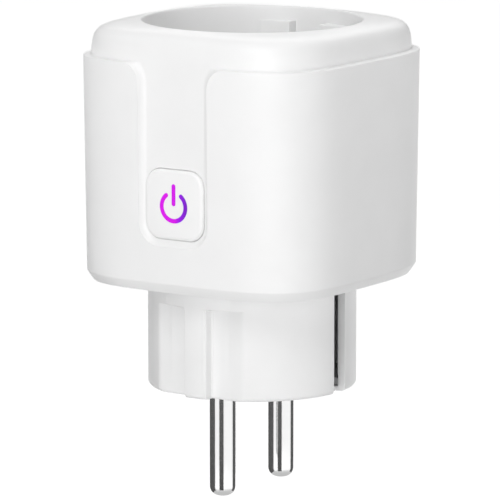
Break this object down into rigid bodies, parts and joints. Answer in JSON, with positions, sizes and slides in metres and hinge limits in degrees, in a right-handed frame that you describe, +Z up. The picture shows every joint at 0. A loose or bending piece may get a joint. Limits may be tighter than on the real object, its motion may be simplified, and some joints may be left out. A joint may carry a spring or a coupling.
{
  "type": "plug-in power meter",
  "caption": "Squarish white plug-in power meter: round earthed socket well on top, lit power button on the front, plug neck with mains pins below.",
  "frame": {"origin": "middle of the plug face, the flat underside of the neck between the pins", "axes": "+Z up out of the socket well, pins along -Z; -Y to the button; earth clips on +X and -X"},
  "size_m": [0.051, 0.0509, 0.0848],
  "materials": {
    "white_abs": "fine satin moulded ABS",
    "button_white": "satin moulded ABS",
    "inner_nylon": "matt glass-filled nylon",
    "icon_lens": "translucent acrylic, lit magenta to violet",
    "nickel_plate": "bright nickel-plated brass",
    "spring_steel": "drawn steel",
    "contact_brass": "stamped brass",
    "coil_copper": "lacquered winding wire",
    "core_iron": "soft iron",
    "board_green": "solder-masked glass laminate",
    "board_black": "black solder-masked laminate",
    "chip_black": "moulded epoxy",
    "relay_blue": "moulded cover",
    "capacitor_sleeve": "shrunk plastic sleeve",
    "film_box_yellow": "moulded box",
    "disc_blue": "dipped epoxy coating",
    "resistor_green": "cement coating",
    "tin_plate": "tinned sheet steel",
    "clear_epoxy": "clear moulded epoxy"
  },
  "bodies": {
    "housing": {"outer_shell": "white_abs", "socket_cap": "white_abs", "plug_base": "white_abs", "pin_live": "nickel_plate", "pin_neutral": "nickel_plate", "earth_strip_right": "nickel_plate", "earth_strip_left": "nickel_plate", "earth_cross_strap": "nickel_plate", "earth_clip_right": "nickel_plate", "earth_clip_left": "nickel_plate", "contact_block": "inner_nylon", "socket_contact_neutral": "contact_brass", "socket_contact_live": "contact_brass", "shutter_spring": "spring_steel", "switch_body": "chip_black", "led_blue": "clear_epoxy", "led_red": "clear_epoxy", "power_board": "board_green", "control_board": "board_black", "radio_board": "board_black", "board_screw_1": "spring_steel", "board_screw_2": "spring_steel", "board_screw_3": "spring_steel", "board_screw_4": "spring_steel", "relay_base": "chip_black", "relay_case": "relay_blue", "relay_coil": "coil_copper", "relay_core": "core_iron", "relay_yoke": "core_iron", "relay_fixed_contact": "contact_brass", "film_capacitor": "film_box_yellow", "bulk_capacitor_1": "capacitor_sleeve", "bulk_capacitor_2": "capacitor_sleeve", "choke": "core_iron", "varistor": "disc_blue", "fuse_resistor": "resistor_green", "current_shunt": "spring_steel", "metering_chip": "chip_black", "converter_chip": "chip_black", "bridge_rectifier": "chip_black", "radio_shield": "tin_plate", "control_header": "chip_black"},
    "button": {"power_button": "button_white", "icon_light_guide": "icon_lens"},
    "switch_plunger": {"switch_plunger": "inner_nylon"},
    "shutter": {"shutter": "inner_nylon"},
    "relay_armature": {"relay_armature": "core_iron", "relay_contact_blade": "contact_brass"}
  },
  "joints": [
    {"name": "button_press", "type": "slide", "parent": "housing", "child": "button", "axis": [0, 1, 0], "range_m": [0, 0.0005], "stiffness_N_per_m": 800, "springref_m": -0.001},
    {"name": "plunger_travel", "type": "slide", "parent": "housing", "child": "switch_plunger", "axis": [0, 1, 0], "range_m": [0, 0.0005]},
    {"name": "shutter_turn", "type": "hinge", "parent": "housing", "child": "shutter", "pos_m": [0, 0, 0.0452], "axis": [0, 0, 1], "range_deg": [0, 40], "stiffness_Nm_per_rad": 0.002, "springref_deg": -17.19},
    {"name": "armature_tilt", "type": "hinge", "parent": "housing", "child": "relay_armature", "pos_m": [-0.0143, 0.0012, 0.0372], "axis": [1, 0, 0], "range_deg": [0, 5], "stiffness_Nm_per_rad": 0.01, "springref_deg": -5.73}
  ],
  "couplings": [
    {"joint": "plunger_travel", "follows": "button_press", "ratio": 1}
  ]
}
